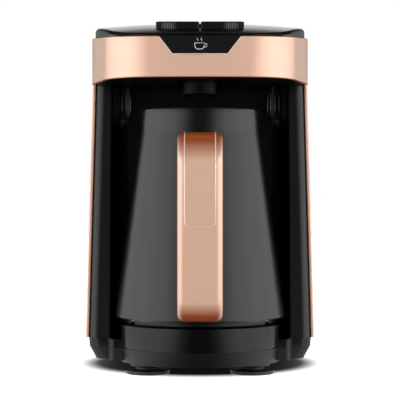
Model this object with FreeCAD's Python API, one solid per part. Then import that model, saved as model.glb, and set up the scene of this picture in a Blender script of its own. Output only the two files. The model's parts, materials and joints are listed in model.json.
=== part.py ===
# Electric turkish coffee maker: a housing with an open bay, a lifting pot and two push buttons.
# Millimetres, +Z up, +X to the right, the front faces -Y, origin under the middle of its footprint.
import FreeCAD, Part
import math
import os
from FreeCAD import Vector

os.makedirs("parts", exist_ok=True)

# Overall
front_y = -67.5                 # front of the head and of the base drum
back_y = 102.5                  # back of the head and of the outer shell
foot_height = 7.7               # underside of the base above the table
beyond = 200.0                  # farther out than every outline, for cutting blocks
same = 0.01                     # places this close count as one, when edges are picked
past = 1.0                      # how far a cutting tool runs past the face that it cuts
fit = 0.3                       # clearance between pieces that move past each other
slip = 0.15                     # clearance between pieces that are assembled and stay

# Screws
screw_radius = 1.5
screw_head_radius = 3.0
small_head_radius = 2.6
screw_head_height = 1.8
slot_half = 0.35
slot_depth = 0.8
head_sink = 3.0                 # how deep a screw's head sits in its counterbore
boss_radius = 4.2

# Base
drum_radius = 59.0
shell_bottom_half = 83.4        # the shell is widest at its foot
shell_top_half = shell_bottom_half - 3.9
cheek_half_width = shell_bottom_half - 2.8
drum_y = -8.5                   # axis of the drum and of the pot
deck_z = 35.7                   # top of the drum, where the pot stands
seam_z = 18.0                   # seam between the base housing and the bottom tray
drum_taper = 1.5
groove_depth = 0.8
groove_height = 1.2
cheek_chamfer = 5.0
cheek_front_y = -15.0
cheek_lift = 1.2                # underside of the cheeks above the underside of the drum
step_half_width = drum_radius + 5.5
step_front_y = -26.0
tray_floor = 2.4
base_wall = 3.0
deck_thickness = 3.0
deck_edge = 1.2
step_corner = 3.0
step_inner_corner = 2.0
cheek_corner = 8.0
base_back_inset = 2.0           # back of the base before the back of the shell
shell_ledge = 0.4               # how far the base's upper edge spreads under the shell
deck_rings = [20.0, 34.0]       # inner radii of the two shallow grooves in the deck
deck_ring_width = 1.2
deck_ring_depth = 0.5

# Feet and the tray's screws
front_foot_x = 37.3
front_foot_y = -29.0
rear_foot_x = cheek_half_width - 24.6
rear_foot_y = 70.0
foot_disc_radius = 15.5
foot_disc_height = 2.6
foot_neck_radius = 8.5
foot_shoulder_radius = 12.5
foot_shoulder_height = 1.8
foot_stem_radius = 4.0
foot_stem_length = 4.0
foot_boss_wall = 3.0
foot_boss_roof = 2.0
sole_hollow = 0.8
sole_hollow_in = 5.0            # edge of the sole's hollow, in from the disc's edge
sole_ring_in = 2.2
sole_edge = 0.6
neck_low = 0.9
neck_high = 2.2
side_screw_x = cheek_half_width - 14.6
side_screw_y = 10.0
rear_screw_x = 30.0
rear_screw_y = 88.0
base_screw_reach = 6.0
foot_places = {
    "front_left": (-front_foot_x, front_foot_y), "front_right": (front_foot_x, front_foot_y),
    "rear_left": (-rear_foot_x, rear_foot_y), "rear_right": (rear_foot_x, rear_foot_y),
}
base_screws = [(-side_screw_x, side_screw_y), (side_screw_x, side_screw_y),
               (-rear_screw_x, rear_screw_y), (rear_screw_x, rear_screw_y)]

# Column and shell
shell_bottom_z = 24.0
shell_wall = 2.4
nose_bottom_y = -14.0           # front of the black columns at the foot
nose_top_y = 4.0                # and under the head
nose_ahead = 4.0                # how far the black nose stands before the shell's edge
back_corner = 36.0
bay_half_width = shell_top_half - 13.7
bay_back_y = 58.0
bay_corner = 12.0
core_wall = 3.0
nose_corner = 7.0
service_sill = 8.0
outline_run = 20.0              # how far the shell's outlines run ahead of its cut front edge
service_half_width = bay_half_width - 21.8       # opening in the core's back, closed by the shell

# Head
head_z = 209.0
band_front_z = 237.4
tilt = 4.5                      # degrees that the head's top rises to the back
head_half = shell_top_half + 0.9
head_corner_x = head_half - 19.9
head_corner_y = front_y + 4.8
head_corner = 38.0
head_side_y = 4.0
head_front_radius = 335.0
head_front_bow = 1.4            # how far the corner of the front arc's tangents stands out
head_side_radius = 100.0
head_back_radius = 600.0
head_back_bow = 0.6
head_back_in = 1.6
head_back_step = 3.0
corner_in_x = 0.75              # shares of an inset by which the slanting front corners move
corner_in_y = 0.9
corner_in_radius = 0.8
band_wall = 2.6
band_edge = 0.8
shell_edge = 1.0
cover_inset = 2.4
cover_apex_z = 257.5
cover_apex_y = 60.0
crown_radius = 447.0
crown_side_radius = 800.0
crown_reach = 90.0
crown_depth = 60.0
crown_turn = 25.0               # degrees that the domed surface runs to the front and the back
cover_rim = 3.5
cover_wall = 2.6
hollow_front = 2.0              # how far the dome's hollow stays below its inner face
hollow_buttons = 1.0
hollow_apex = 3.5
hollow_back = 6.0
tongue_top_half = 28.5
tongue_bottom_half = 19.2
tongue_bottom_z = 225.2
tongue_proud = 0.3
tongue_over = 12.0              # how far the trapezoid block runs above the band
tongue_ahead = 10.0
tongue_depth = 40.0
notch_depth = 20.0
seat_lap = 0.5                  # how far the skirt runs up into the dome
skirt_drop = 6.0
skirt_wall = 2.0
ceiling_wall = 2.4
ceiling_lip = 9.0

# Buttons
button_half = 32.6
button_depth = 40.0
button_y = -25.0
button_tilt = 6.8
button_front_top_z = 249.9
button_gap = 1.7
button_bottom_z = 241.0
button_edge = 1.0
button_travel = 1.5
button_x = 16.0                 # the stem's place from the middle plane
button_wall = 3.0
button_side_wall = 2.0
button_inner_corner = 1.0
button_corner = 16.0
button_side_in = 7.0
button_side_radius = 22.0
well_floor_z = 234.5
well_wall = 1.6
well_drop = 0.8                 # top of the well's wall below the domed surface
stem_radius = 3.0
guide_clearance = 0.08
sleeve_radius = 4.6
sleeve_wall = 0.8
sleeve_bulge = 1.2

# Ceiling and control board
post_x = bay_half_width - 9.8
post_y = 30.0
post_radius = 4.9
post_low_z = 185.0
rib_x = bay_half_width - 2.4
rib_half = 1.2
rib_half_depth = 2.0
rib_lift = 0.5
ceiling_screw_reach = 3.0
board_z = 224.0
board_thickness = 1.6
board_half_width = 46.0
board_front_y = -44.0
board_rear_y = -6.0
board_boss_radius = 3.2
board_bore_depth = 8.0
board_screw_reach = 7.5
board_holes = [(-40.0, -38.0), (40.0, -38.0), (-40.0, -12.0), (40.0, -12.0)]
switch_top_z = 232.0            # top of the plungers at rest
switch_half = 3.1
switch_height = 4.0
switch_floor = 0.2
buzzer_x = 34.0
buzzer_radius = 6.0
buzzer_height = 3.8
buzzer_hole_radius = 1.2
buzzer_hole_depth = 1.0
plunger_radius = 1.75
plunger_clearance = 0.05
plunger_spare = 0.1             # free way left under a pressed plunger
sensor_radius = 12.3
sensor_low_z = 200.2
sensor_wall = 2.6
sensor_edge = 0.8
sensor_flange = 2.5
sensor_flange_height = 1.6
lens_rise = 1.6
lens_edge_lift = 0.6
lens_top_lift = 2.6

# Power coupling between the pot and the bay's back wall
socket_z = 62.0
socket_half_width = 17.0
socket_half_height = 11.0
socket_screw_x = 22.0
post_zs = [54.0, 70.0]
pin_radius = 2.0
pin_pitch = 9.5
pin_clearance = 0.08
contact_radius = 1.5
socket_depth_y = 74.0
socket_back_y = 76.0
inlet_half_width = 14.0
inlet_half_height = 8.5
inlet_inner_y = 44.0
inlet_gap = 0.6
socket_edge = 2.0
flange_thickness = 3.0
flange_margin_x = 4.0
flange_margin_z = 3.0
contact_tail = 3.0
pin_root = 2.0
pin_end_gap = 2.0
pin_edge = 1.2

# Mains board behind the bay
power_y = 78.0
power_low = 90.0
power_high = 170.0
board_half = 30.0
power_holes = [(-25.0, 96.0), (25.0, 96.0), (-25.0, 164.0), (25.0, 164.0)]
power_screw_reach = 8.0
part_edge = 0.8
relay_xs = [-24.0, -5.0]
relay_zs = [140.0, 160.0]
relay_height = 15.5
capacitor_x = 12.0
capacitor_z = 150.0
capacitor_radius = 7.0
capacitor_height = 14.0
fuse_z = 122.0
fuse_half = 10.0
fuse_radius = 2.6
fuse_lift = 3.4
clip_width = 4.0
clip_height = 2.6
clip_half = 1.4
terminal_half = pin_pitch * 1.7
terminal_height = 9.0
terminal_low = power_low + 2.0
terminal_high = power_low + 13.0
lead_radius = 1.3
lead_start = 1.0
lead_bend = 4.0

# Pot
pot_low_z = 39.0
pot_low_radius = drum_radius + 3.0
pot_high_radius = 44.5
pot_wall = 2.2
pot_foot_edge = 1.2
collar_z = 171.9
collar_top_z = 189.6
collar_top_radius = pot_high_radius - 1.3
rim_edge = 1.6
rim_round = 0.3                 # share of the edge that its middle point stands in
rim_lap = 1.2
liner_wall = 0.8
liner_floor_z = 58.0
liner_corner = 5.0
liner_corner_mid = 1.5
seal_height = 4.0
seal_gap = 0.05
liner_low_radius = pot_low_radius - 13.0
liner_top_radius = pot_high_radius - 3.9
heater_radius = liner_low_radius - 5.0
element_radius = 30.0
element_half = 3.0
heater_thickness = 3.0
thermostat_radius = 6.0
thermostat_flange = 9.0
thermostat_drop = 7.5
thermostat_flange_drop = 3.0
cover_plate_z = 41.0
cover_plate_thickness = 2.0
cover_lift = 0.2
cover_screw_sink = 1.2
pot_ring_width = 5.0
pot_ring_radius = pot_low_radius - 7.0
pot_screw_radius = pot_low_radius - 9.0
pot_screw_angles = [90.0, 210.0, 330.0]
pot_boss_top = 52.0
pot_boss_roof = 2.0
pot_web_half = 1.2
pot_web_in = 0.5                # how far the webs run into the wall

# Handle
handle_front_y = -102.5
handle_top_z = 170.3
handle_low_z = 41.4
handle_half_width = 15.3
handle_thickness = 14.0
arm_thickness = 14.5
handle_edge = 4.5
handle_top_corner = 22.0
handle_low_corner = 15.0
finger_top_corner = 9.0
finger_low_corner = 8.0
handle_skin = 2.0               # rose gold on each side of the backing
backing_thickness = 4.0
inset_half = 10.4
inset_low_z = 106.0
inset_corner = 4.0
inset_depth = 1.6
inset_end_y = -72.0
handle_screw_zs = [161.0, 50.5]
handle_screw_head = 1.2
handle_screw_seat = 0.6
handle_screw_reach = 12.0
handle_bore_y = drum_y - pot_low_radius - 10.0

# Mains entry
gland_x = 0.0
gland_z = 40.0
gland_radius = 5.0
gland_bore = 3.2
gland_inset = 0.4
gland_length = 7.0              # how far it reaches in behind the shell's wall
gland_flange = 2.5
gland_flange_length = 2.4


def rounded(points, z):
    """Closed wire at height z through corner points (x, y, radius), with tangent arcs."""
    count = len(points)
    corners = []
    for i in range(count):
        x, y, radius = points[i]
        corner = Vector(x, y, z)
        before = Vector(points[i - 1][0], points[i - 1][1], z) - corner
        after = Vector(points[(i + 1) % count][0], points[(i + 1) % count][1], z) - corner
        before.normalize()
        after.normalize()
        if radius <= 0:
            corners.append((corner, None, corner))
            continue
        half = before.getAngle(after) / 2
        reach = radius / math.tan(half)
        bisector = before + after
        bisector.normalize()
        middle = corner + bisector * (radius / math.sin(half) - radius)
        corners.append((corner + before * reach, middle, corner + after * reach))
    edges = []
    for i in range(count):
        start, middle, end = corners[i]
        if middle is not None:
            edges.append(Part.Arc(start, middle, end).toShape())
        following = corners[(i + 1) % count][0]
        if end.distanceToPoint(following) > 0.001:
            edges.append(Part.makeLine(end, following))
    return Part.Wire(edges)


def mirrored(half):
    """Full outline from its right half, listed from front to back."""
    left = [(-x, y, radius) for x, y, radius in reversed(half) if x > 0]
    return half + left


def prism(points, low, high):
    """Upright solid with a rounded outline."""
    return Part.Face(rounded(points, low)).extrude(Vector(0, 0, high - low))


def tapered(low_points, low, high_points, high):
    """Solid lofted between two rounded outlines at two heights."""
    return Part.makeLoft([rounded(low_points, low), rounded(high_points, high)], True, True)


def box(x0, x1, y0, y1, z0, z1):
    return Part.makeBox(x1 - x0, y1 - y0, z1 - z0, Vector(x0, y0, z0))


def rod(radius, x, y, z0, z1):
    return Part.makeCylinder(radius, z1 - z0, Vector(x, y, z0))


def rod_y(radius, x, z, y0, y1):
    return Part.makeCylinder(radius, y1 - y0, Vector(x, y0, z), Vector(0, 1, 0))


def turned(profile, x, y):
    """Solid of revolution about the upright axis at x, y from (radius, z) points."""
    wire = Part.makePolygon([Vector(r + x, y, z) for r, z in profile + profile[:1]])
    return Part.Face(wire).revolve(Vector(x, y, 0), Vector(0, 0, 1), 360)


def join(solids):
    result = solids[0].multiFuse(solids[1:]) if len(solids) > 1 else solids[0]
    return result.removeSplitter()


def middle_of(edge):
    return edge.valueAt((edge.FirstParameter + edge.LastParameter) / 2)


def upright(edge):
    return edge.BoundBox.XLength < same and edge.BoundBox.YLength < same


def level(edge):
    return edge.BoundBox.ZLength < same


def save(name, shape):
    shape.exportStep("parts/" + name + ".step")
    print(name, "solids", len(shape.Solids), "valid", shape.isValid(), "cm3", round(shape.Volume / 1000, 2))


def head_plan(inset=0.0):
    """Outline of the head: a flat arc in front, round corners, sides that flare to the back."""
    side = head_half - inset
    front = front_y + inset
    return mirrored([
        (0, front - head_front_bow, head_front_radius),
        (head_corner_x - inset * corner_in_x, head_corner_y + inset * corner_in_y,
         head_corner - inset * corner_in_radius),
        (side, head_side_y, head_side_radius),
        (side - head_back_in, back_y - inset - head_back_step, back_corner - inset),
        (0, back_y - inset + head_back_bow, head_back_radius),
    ])


def body_plan(half_width, nose_y, inset=0.0):
    """Outline of the column, from its noses to the back."""
    side = half_width - inset
    return mirrored([
        (side, nose_y, nose_corner),
        (side, back_y - inset, back_corner - inset),
    ])


def base_plan(half_width, inset=0.0):
    """Outline of the base behind the drum: cheeks at the sides and a step towards the drum."""
    side = half_width - inset
    return mirrored([
        (step_half_width - inset, step_front_y + inset, step_corner),
        (step_half_width - inset, cheek_front_y + inset, step_inner_corner),
        (side, cheek_front_y + inset, cheek_corner),
        (side, back_y - base_back_inset - inset, back_corner - base_back_inset - inset),
    ])


def half_width_at(z):
    """Outer half width of the tapering shell at height z."""
    share = (z - shell_bottom_z) / (head_z - shell_bottom_z)
    return shell_bottom_half + (shell_top_half - shell_bottom_half) * share


def nose_at(z):
    """Front of the leaning column at height z."""
    share = (z - shell_bottom_z) / (head_z - shell_bottom_z)
    return nose_bottom_y + (nose_top_y - nose_bottom_y) * share


def bottom_tray():
    """Underside of the base: a tapered drum and cheeks, hollow, with sockets for feet and screws."""
    low = foot_height
    drum = Part.makeCone(drum_radius - drum_taper, drum_radius, seam_z - low, Vector(0, drum_y, low))
    rear = tapered(base_plan(cheek_half_width - cheek_chamfer), low + cheek_lift,
                   base_plan(cheek_half_width), seam_z)
    solid = join([drum, rear])
    inner_drum = rod(drum_radius - drum_taper - base_wall, 0, drum_y, low + tray_floor, seam_z)
    inner_rear = prism(base_plan(cheek_half_width - cheek_chamfer, base_wall),
                       low + cheek_lift + tray_floor, seam_z)
    solid = solid.cut(join([inner_drum, inner_rear]))
    for x, y in foot_places.values():
        solid = solid.fuse(rod(foot_stem_radius + foot_boss_wall, x, y, low + cheek_lift,
                               seam_z - foot_boss_roof))
        solid = solid.cut(rod(foot_stem_radius, x, y, low - past, low + foot_stem_length + cheek_lift))
    for x, y in base_screws:
        solid = solid.fuse(rod(boss_radius, x, y, low + cheek_lift, seam_z))
        solid = solid.cut(rod(screw_radius + slip, x, y, low - past, seam_z + past))
        solid = solid.cut(rod(screw_head_radius + slip, x, y, low - past, low + cheek_lift + head_sink))
    return solid.removeSplitter()


def foot(x, y):
    """Rubber foot: a disc with a hollowed sole, a narrow neck, a shoulder and a stem."""
    seat = foot_height if y < 0 else foot_height + cheek_lift
    top = foot_height + foot_stem_length + cheek_lift
    return turned([
        (0, sole_hollow), (foot_disc_radius - sole_hollow_in, sole_hollow),
        (foot_disc_radius - sole_ring_in, 0), (foot_disc_radius - sole_edge, 0),
        (foot_disc_radius, sole_hollow), (foot_disc_radius, foot_disc_height),
        (foot_neck_radius, foot_disc_height + neck_low), (foot_neck_radius, foot_disc_height + neck_high),
        (foot_shoulder_radius, seat - foot_shoulder_height), (foot_shoulder_radius, seat),
        (foot_stem_radius, seat), (foot_stem_radius, top), (0, top)], x, y)


def screw_up(x, y, head_low, tip):
    """Pan head screw driven upwards: its head is at head_low and its tip above."""
    solid = join([rod(screw_head_radius, x, y, head_low, head_low + screw_head_height),
                  rod(screw_radius, x, y, head_low + screw_head_height, tip)])
    slot = box(x - screw_head_radius, x + screw_head_radius, y - slot_half, y + slot_half,
               head_low, head_low + slot_depth)
    return solid.cut(slot)


def bottom_screws():
    head_low = foot_height + cheek_lift + head_sink - screw_head_height
    return Part.makeCompound([screw_up(x, y, head_low, seam_z + base_screw_reach) for x, y in base_screws])


def base_housing():
    """Drum with its groove and deck, and the cheeks that carry the column."""
    drum = rod(drum_radius, 0, drum_y, seam_z, deck_z)
    rear = tapered(base_plan(cheek_half_width), seam_z, base_plan(cheek_half_width + shell_ledge),
                   shell_bottom_z)
    solid = join([drum, rear])
    inner_drum = rod(drum_radius - base_wall, 0, drum_y, seam_z, deck_z - deck_thickness)
    inner_rear = prism(base_plan(cheek_half_width, base_wall), seam_z,
                       shell_bottom_z - deck_thickness)
    solid = solid.cut(join([inner_drum, inner_rear]))
    groove = Part.makeCylinder(drum_radius + past, groove_height, Vector(0, drum_y, seam_z))
    groove = groove.cut(rod(drum_radius - groove_depth, 0, drum_y, seam_z, seam_z + groove_height))
    groove = groove.cut(prism(base_plan(cheek_half_width), seam_z - past, shell_bottom_z + past))
    solid = solid.cut(groove)
    for x, y in base_screws:
        solid = solid.fuse(rod(boss_radius, x, y, seam_z, shell_bottom_z - deck_thickness))
        solid = solid.cut(rod(screw_radius, x, y, seam_z - past, seam_z + base_screw_reach))
    rim = [e for e in solid.Edges if level(e) and abs(e.BoundBox.ZMin - deck_z) < same
           and e.Length > drum_radius / 2]
    solid = solid.makeChamfer(deck_edge, rim)
    for radius in deck_rings:
        ring = rod(radius + deck_ring_width, 0, drum_y, deck_z - deck_ring_depth, deck_z)
        solid = solid.cut(ring.cut(rod(radius, 0, drum_y, deck_z - deck_ring_depth, deck_z)))
    return solid


def inner_housing():
    """Black core: two columns with rounded noses and the bay's back wall, hollow behind."""
    low, high = shell_bottom_z, head_z
    core = tapered(body_plan(half_width_at(low), nose_at(low), shell_wall + slip), low,
                   body_plan(half_width_at(high), nose_at(high), shell_wall + slip), high)
    bay = mirrored([(bay_half_width, front_y, 0), (bay_half_width, bay_back_y, bay_corner)])
    core = core.cut(prism(bay, low - past, high + past))
    inset = shell_wall + slip + core_wall
    chest = tapered(body_plan(half_width_at(low), nose_at(low) + core_wall, inset), low + core_wall,
                    body_plan(half_width_at(high), nose_at(high) + core_wall, inset), high + past)
    room = mirrored([(bay_half_width + core_wall, front_y, 0),
                     (bay_half_width + core_wall, bay_back_y + core_wall, bay_corner + core_wall)])
    core = core.cut(chest.cut(prism(room, low, high + 2 * past)))
    core = core.cut(box(-service_half_width, service_half_width, bay_back_y + 2 * core_wall,
                        back_y + past, low + service_sill, high + past))
    for z in post_zs:
        for x in (-socket_screw_x, socket_screw_x):
            core = core.cut(rod_y(screw_radius + slip, x, z, bay_back_y - past,
                                  bay_back_y + core_wall + past))
    core = core.cut(box(-socket_half_width - slip, socket_half_width + slip, bay_back_y - past,
                        bay_back_y + core_wall + past, socket_z - socket_half_height - slip,
                        socket_z + socket_half_height + slip))
    return core


def outer_shell():
    """Rose gold shell round the sides and the back; its front edges are straight and upright."""
    low, high = shell_bottom_z, head_z
    edge_low, edge_high = nose_at(low) + nose_ahead, nose_at(high) + nose_ahead
    outside = tapered(body_plan(half_width_at(low), edge_low - outline_run), low,
                      body_plan(half_width_at(high), edge_high - outline_run), high)
    inside = tapered(body_plan(half_width_at(low), nose_at(low) - 2 * outline_run, shell_wall), low,
                     body_plan(half_width_at(high), nose_at(high) - 2 * outline_run, shell_wall), high)
    shell = outside.cut(inside)
    ahead = Part.makePolygon([
        Vector(-beyond, -beyond, low - past), Vector(-beyond, edge_low, low - past),
        Vector(-beyond, edge_low, low), Vector(-beyond, edge_high, high),
        Vector(-beyond, edge_high, high + past), Vector(-beyond, -beyond, high + past),
        Vector(-beyond, -beyond, low - past)])
    shell = shell.cut(Part.Face(ahead).extrude(Vector(2 * beyond, 0, 0)))
    shell = shell.cut(rod_y(gland_radius + slip, gland_x, gland_z, back_y - 2 * shell_wall, back_y + past))
    lips = [e for e in shell.Edges if e.Length > (high - low) / 2 and middle_of(e).y < edge_high + past
            and abs(middle_of(e).x) > shell_top_half - past]
    return shell.makeFillet(shell_edge, lips)


def slope_top(z_front, low):
    """Wedge whose upper face rises to the back at the head's tilt, from z_front at front_y."""
    rise = math.tan(math.radians(tilt))
    y0, y1 = front_y - beyond, back_y + beyond
    profile = Part.makePolygon([
        Vector(-beyond, y0, low), Vector(-beyond, y1, low),
        Vector(-beyond, y1, z_front + (y1 - front_y) * rise),
        Vector(-beyond, y0, z_front + (y0 - front_y) * rise), Vector(-beyond, y0, low)])
    return Part.Face(profile).extrude(Vector(2 * beyond, 0, 0))


def crown(drop=0.0):
    """Barrel shaped solid whose top is the domed surface of the head, lowered by drop."""
    top = cover_apex_z - drop
    centre_z = cover_apex_z - crown_radius
    sag = crown_side_radius - math.sqrt(crown_side_radius ** 2 - crown_reach ** 2)
    left = Vector(-crown_reach, cover_apex_y, top - sag)
    right = Vector(crown_reach, cover_apex_y, top - sag)
    arc = Part.Arc(left, Vector(0, cover_apex_y, top), right).toShape()
    low = cover_apex_z - crown_depth
    rest = Part.makePolygon([right, Vector(crown_reach, cover_apex_y, low),
                             Vector(-crown_reach, cover_apex_y, low), left])
    face = Part.Face(Part.Wire([arc] + rest.Edges))
    face.rotate(Vector(0, cover_apex_y, centre_z), Vector(1, 0, 0), -crown_turn)
    return face.revolve(Vector(0, cover_apex_y, centre_z), Vector(1, 0, 0), 2 * crown_turn)


def tongue(inset, depth):
    """Trapezoid block in front, for the cover's tongue and the band's notch."""
    top = band_front_z + tongue_over
    slope = (tongue_top_half - tongue_bottom_half) / (band_front_z - tongue_bottom_z)
    top_half = tongue_top_half + slope * tongue_over - inset
    bottom_half = tongue_bottom_half - inset
    y = front_y - tongue_ahead
    wire = Part.makePolygon([
        Vector(-top_half, y, top), Vector(-bottom_half, y, tongue_bottom_z + inset),
        Vector(bottom_half, y, tongue_bottom_z + inset), Vector(top_half, y, top),
        Vector(-top_half, y, top)])
    return Part.Face(wire).extrude(Vector(0, depth, 0))


def head_band():
    """Rose gold ring round the head, its top edge rising to the back, notched for the tongue."""
    outside = prism(head_plan(), head_z, cover_apex_z).common(slope_top(band_front_z, head_z - past))
    ring = outside.cut(prism(head_plan(band_wall), head_z - past, cover_apex_z + past))
    ring = ring.cut(tongue(0.0, notch_depth))
    core = prism(head_plan(band_wall / 2), head_z - past, cover_apex_z + past)
    edges = [e for e in ring.Edges if not upright(e) and not core.isInside(middle_of(e), same, True)]
    return ring.makeFillet(band_edge, edges)


def button_plan(side, inset=0.0):
    """Half of the oval button cluster, on the side +1 or -1."""
    near, far = button_gap / 2 + inset, button_half - inset
    half_depth = button_depth / 2 - inset
    front, back = button_y - half_depth, button_y + half_depth
    points = [(near, front, button_inner_corner), (far - button_side_in, front, button_corner - inset),
              (far, button_y, button_side_radius), (far - button_side_in, back, button_corner - inset),
              (near, back, button_inner_corner)]
    if side < 0:
        points = [(-x, y, radius) for x, y, radius in reversed(points)]
    return points


def button_place(side):
    return side * button_x, button_y


def tilted_top(z_front):
    """Wedge that gives the buttons their sloping tops."""
    rise = math.tan(math.radians(button_tilt))
    y0, y1 = button_y - button_depth, button_y + button_depth
    front = button_y - button_depth / 2
    profile = Part.makePolygon([
        Vector(-beyond, y0, 0), Vector(-beyond, y1, 0), Vector(-beyond, y1, z_front + (y1 - front) * rise),
        Vector(-beyond, y0, z_front + (y0 - front) * rise), Vector(-beyond, y0, 0)])
    return Part.Face(profile).extrude(Vector(2 * beyond, 0, 0))


def button(side):
    """Half-round push button: a cap with a bevelled edge, hollow below, with a stem."""
    body = prism(button_plan(side), button_bottom_z, cover_apex_z + beyond)
    body = body.common(tilted_top(button_front_top_z))
    rim = [e for e in body.Edges if e.BoundBox.ZMin > button_front_top_z - past]
    body = body.makeFillet(button_edge, rim)
    hollow = prism(button_plan(side, button_side_wall), button_bottom_z - past,
                   button_front_top_z - button_wall)
    body = body.cut(hollow)
    x, y = button_place(side)
    stem_low = switch_top_z + fit
    return join([body, rod(stem_radius, x, y, stem_low, button_front_top_z - button_wall / 2)])


def dome_hollow():
    """Room under the dome: a wedge that keeps at least the cover's wall below the crown."""
    inner_z = cover_apex_z - cover_wall
    profile = Part.makePolygon([
        Vector(-beyond, front_y, 0),
        Vector(-beyond, front_y, crown_height(front_y) - cover_wall - hollow_front),
        Vector(-beyond, button_y, crown_height(button_y) - cover_wall - hollow_buttons),
        Vector(-beyond, cover_apex_y, inner_z - hollow_apex), Vector(-beyond, back_y, inner_z - hollow_back),
        Vector(-beyond, back_y, 0), Vector(-beyond, front_y, 0)])
    return Part.Face(profile).extrude(Vector(2 * beyond, 0, 0))


def crown_height(y):
    """Height of the dome over the middle plane at depth y."""
    return cover_apex_z - crown_radius + math.sqrt(crown_radius ** 2 - (y - cover_apex_y) ** 2)


def cluster_plan(offset):
    """Outline round both buttons, grown by offset, for their well in the cover."""
    half_depth = button_depth / 2 + offset
    return mirrored([
        (button_half - button_side_in + offset, button_y - half_depth, button_corner + offset),
        (button_half + offset, button_y, button_side_radius),
        (button_half - button_side_in + offset, button_y + half_depth, button_corner + offset)])


def top_cover():
    """Black dome with its tongue over the band and a well with two guides for the buttons."""
    seat_z = band_front_z + slip
    low, high = head_z, cover_apex_z + past
    dome = prism(head_plan(cover_inset), low, high).common(crown())
    rim = [e for e in dome.Edges if e.BoundBox.ZMin > tongue_bottom_z]
    dome = dome.makeFillet(cover_rim, rim)
    inside = prism(head_plan(cover_inset + cover_wall), low, high)
    dome = dome.cut(inside.common(dome_hollow())).cut(slope_top(seat_z, 0))
    skirt_room = prism(head_plan(band_wall + slip + skirt_wall), low - past, high + past)
    skirt = prism(head_plan(band_wall + slip), low, high).cut(skirt_room)
    skirt = skirt.common(slope_top(seat_z + seat_lap, 0))
    skirt = skirt.cut(slope_top(band_front_z - skirt_drop, 0))
    plate = prism(head_plan(tongue_proud), low, high).cut(skirt_room)
    plate = plate.common(tongue(slip, tongue_depth)).common(slope_top(seat_z + same, 0))
    well = prism(cluster_plan(fit + well_wall), well_floor_z - well_wall, high).common(crown(well_drop))
    cover = join([dome, skirt, plate, well])
    cover = cover.cut(prism(cluster_plan(fit), well_floor_z, high))
    for side in (-1, 1):
        x, y = button_place(side)
        cover = cover.cut(rod(stem_radius + guide_clearance, x, y, well_floor_z - well_wall - past,
                              well_floor_z + past))
    return cover


def head_underside():
    """Ceiling of the bay: a plate with two screw posts, two ribs, board bosses and a sensor hole."""
    plate = prism(head_plan(band_wall + slip), head_z, head_z + ceiling_wall)
    lip = prism(head_plan(band_wall + slip), head_z, head_z + ceiling_lip)
    lip = lip.cut(prism(head_plan(band_wall + slip + skirt_wall), head_z - past, head_z + ceiling_lip + past))
    solids = [plate, lip]
    for side in (-1, 1):
        solids.append(rod(post_radius, side * post_x, post_y, post_low_z, head_z))
        solids.append(box(side * rib_x - rib_half, side * rib_x + rib_half, post_y - rib_half_depth,
                          post_y + rib_half_depth, post_low_z + rib_lift, head_z))
    for x, y in board_holes:
        solids.append(rod(board_boss_radius, x, y, head_z, board_z))
    solid = join(solids)
    for side in (-1, 1):
        solid = solid.cut(rod(screw_radius + slip, side * post_x, post_y, post_low_z - past,
                              head_z + ceiling_wall + past))
        solid = solid.cut(rod(screw_head_radius + slip, side * post_x, post_y, post_low_z - past,
                              post_low_z + head_sink))
    for x, y in board_holes:
        solid = solid.cut(rod(screw_radius, x, y, board_z - board_bore_depth, board_z + past))
    return solid.cut(rod(sensor_radius + slip, 0, drum_y, head_z - past, head_z + ceiling_wall + past))


def sensor_housing():
    """Ring under the ceiling, held by a flange above it."""
    inner, seat = sensor_radius - sensor_wall, head_z + ceiling_wall
    return turned([
        (inner, sensor_low_z), (sensor_radius - sensor_edge, sensor_low_z),
        (sensor_radius, sensor_low_z + sensor_edge), (sensor_radius, seat),
        (sensor_radius + sensor_flange, seat), (sensor_radius + sensor_flange, seat + sensor_flange_height),
        (inner, seat + sensor_flange_height)], 0, drum_y)


def sensor_window():
    """Shallow domed lens in the sensor's ring."""
    radius = sensor_radius - sensor_wall
    edge_z, top = sensor_low_z + lens_edge_lift, sensor_low_z + lens_top_lift
    curve = (radius ** 2 + lens_rise ** 2) / (2 * lens_rise)
    middle_z = edge_z - lens_rise + curve - math.sqrt(curve ** 2 - radius ** 2 / 4)
    edge, lowest = Vector(radius, drum_y, edge_z), Vector(0, drum_y, edge_z - lens_rise)
    arc = Part.Arc(lowest, Vector(radius / 2, drum_y, middle_z), edge).toShape()
    rest = Part.makePolygon([edge, Vector(radius, drum_y, top), Vector(0, drum_y, top), lowest])
    return Part.Face(Part.Wire([arc] + rest.Edges)).revolve(Vector(0, drum_y, 0), Vector(0, 0, 1), 360)


def ceiling_screws():
    return Part.makeCompound([
        screw_up(side * post_x, post_y, post_low_z + head_sink - screw_head_height,
                 head_z + ceiling_wall + ceiling_screw_reach)
        for side in (-1, 1)])


def screw_down(x, y, seat, tip):
    """Small pan head screw driven downwards: its head rests on seat."""
    top = seat + screw_head_height
    solid = join([rod(small_head_radius, x, y, seat, top), rod(screw_radius, x, y, tip, seat)])
    return solid.cut(box(x - small_head_radius, x + small_head_radius, y - slot_half, y + slot_half,
                         top - slot_depth, top))


def control_board():
    board = box(-board_half_width, board_half_width, board_front_y, board_rear_y, board_z,
                board_z + board_thickness)
    for x, y in board_holes:
        board = board.cut(rod(screw_radius + slip, x, y, board_z - past, board_z + board_thickness + past))
    return board


def switch(side):
    x, y = button_place(side)
    top = board_z + board_thickness
    body = box(x - switch_half, x + switch_half, y - switch_half, y + switch_half, top, top + switch_height)
    return body.cut(rod(plunger_radius + plunger_clearance, x, y, top + switch_floor, switch_top_z))


def switch_plunger(side):
    x, y = button_place(side)
    low = board_z + board_thickness + switch_floor + button_travel + plunger_spare
    return rod(plunger_radius, x, y, low, switch_top_z)


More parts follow.
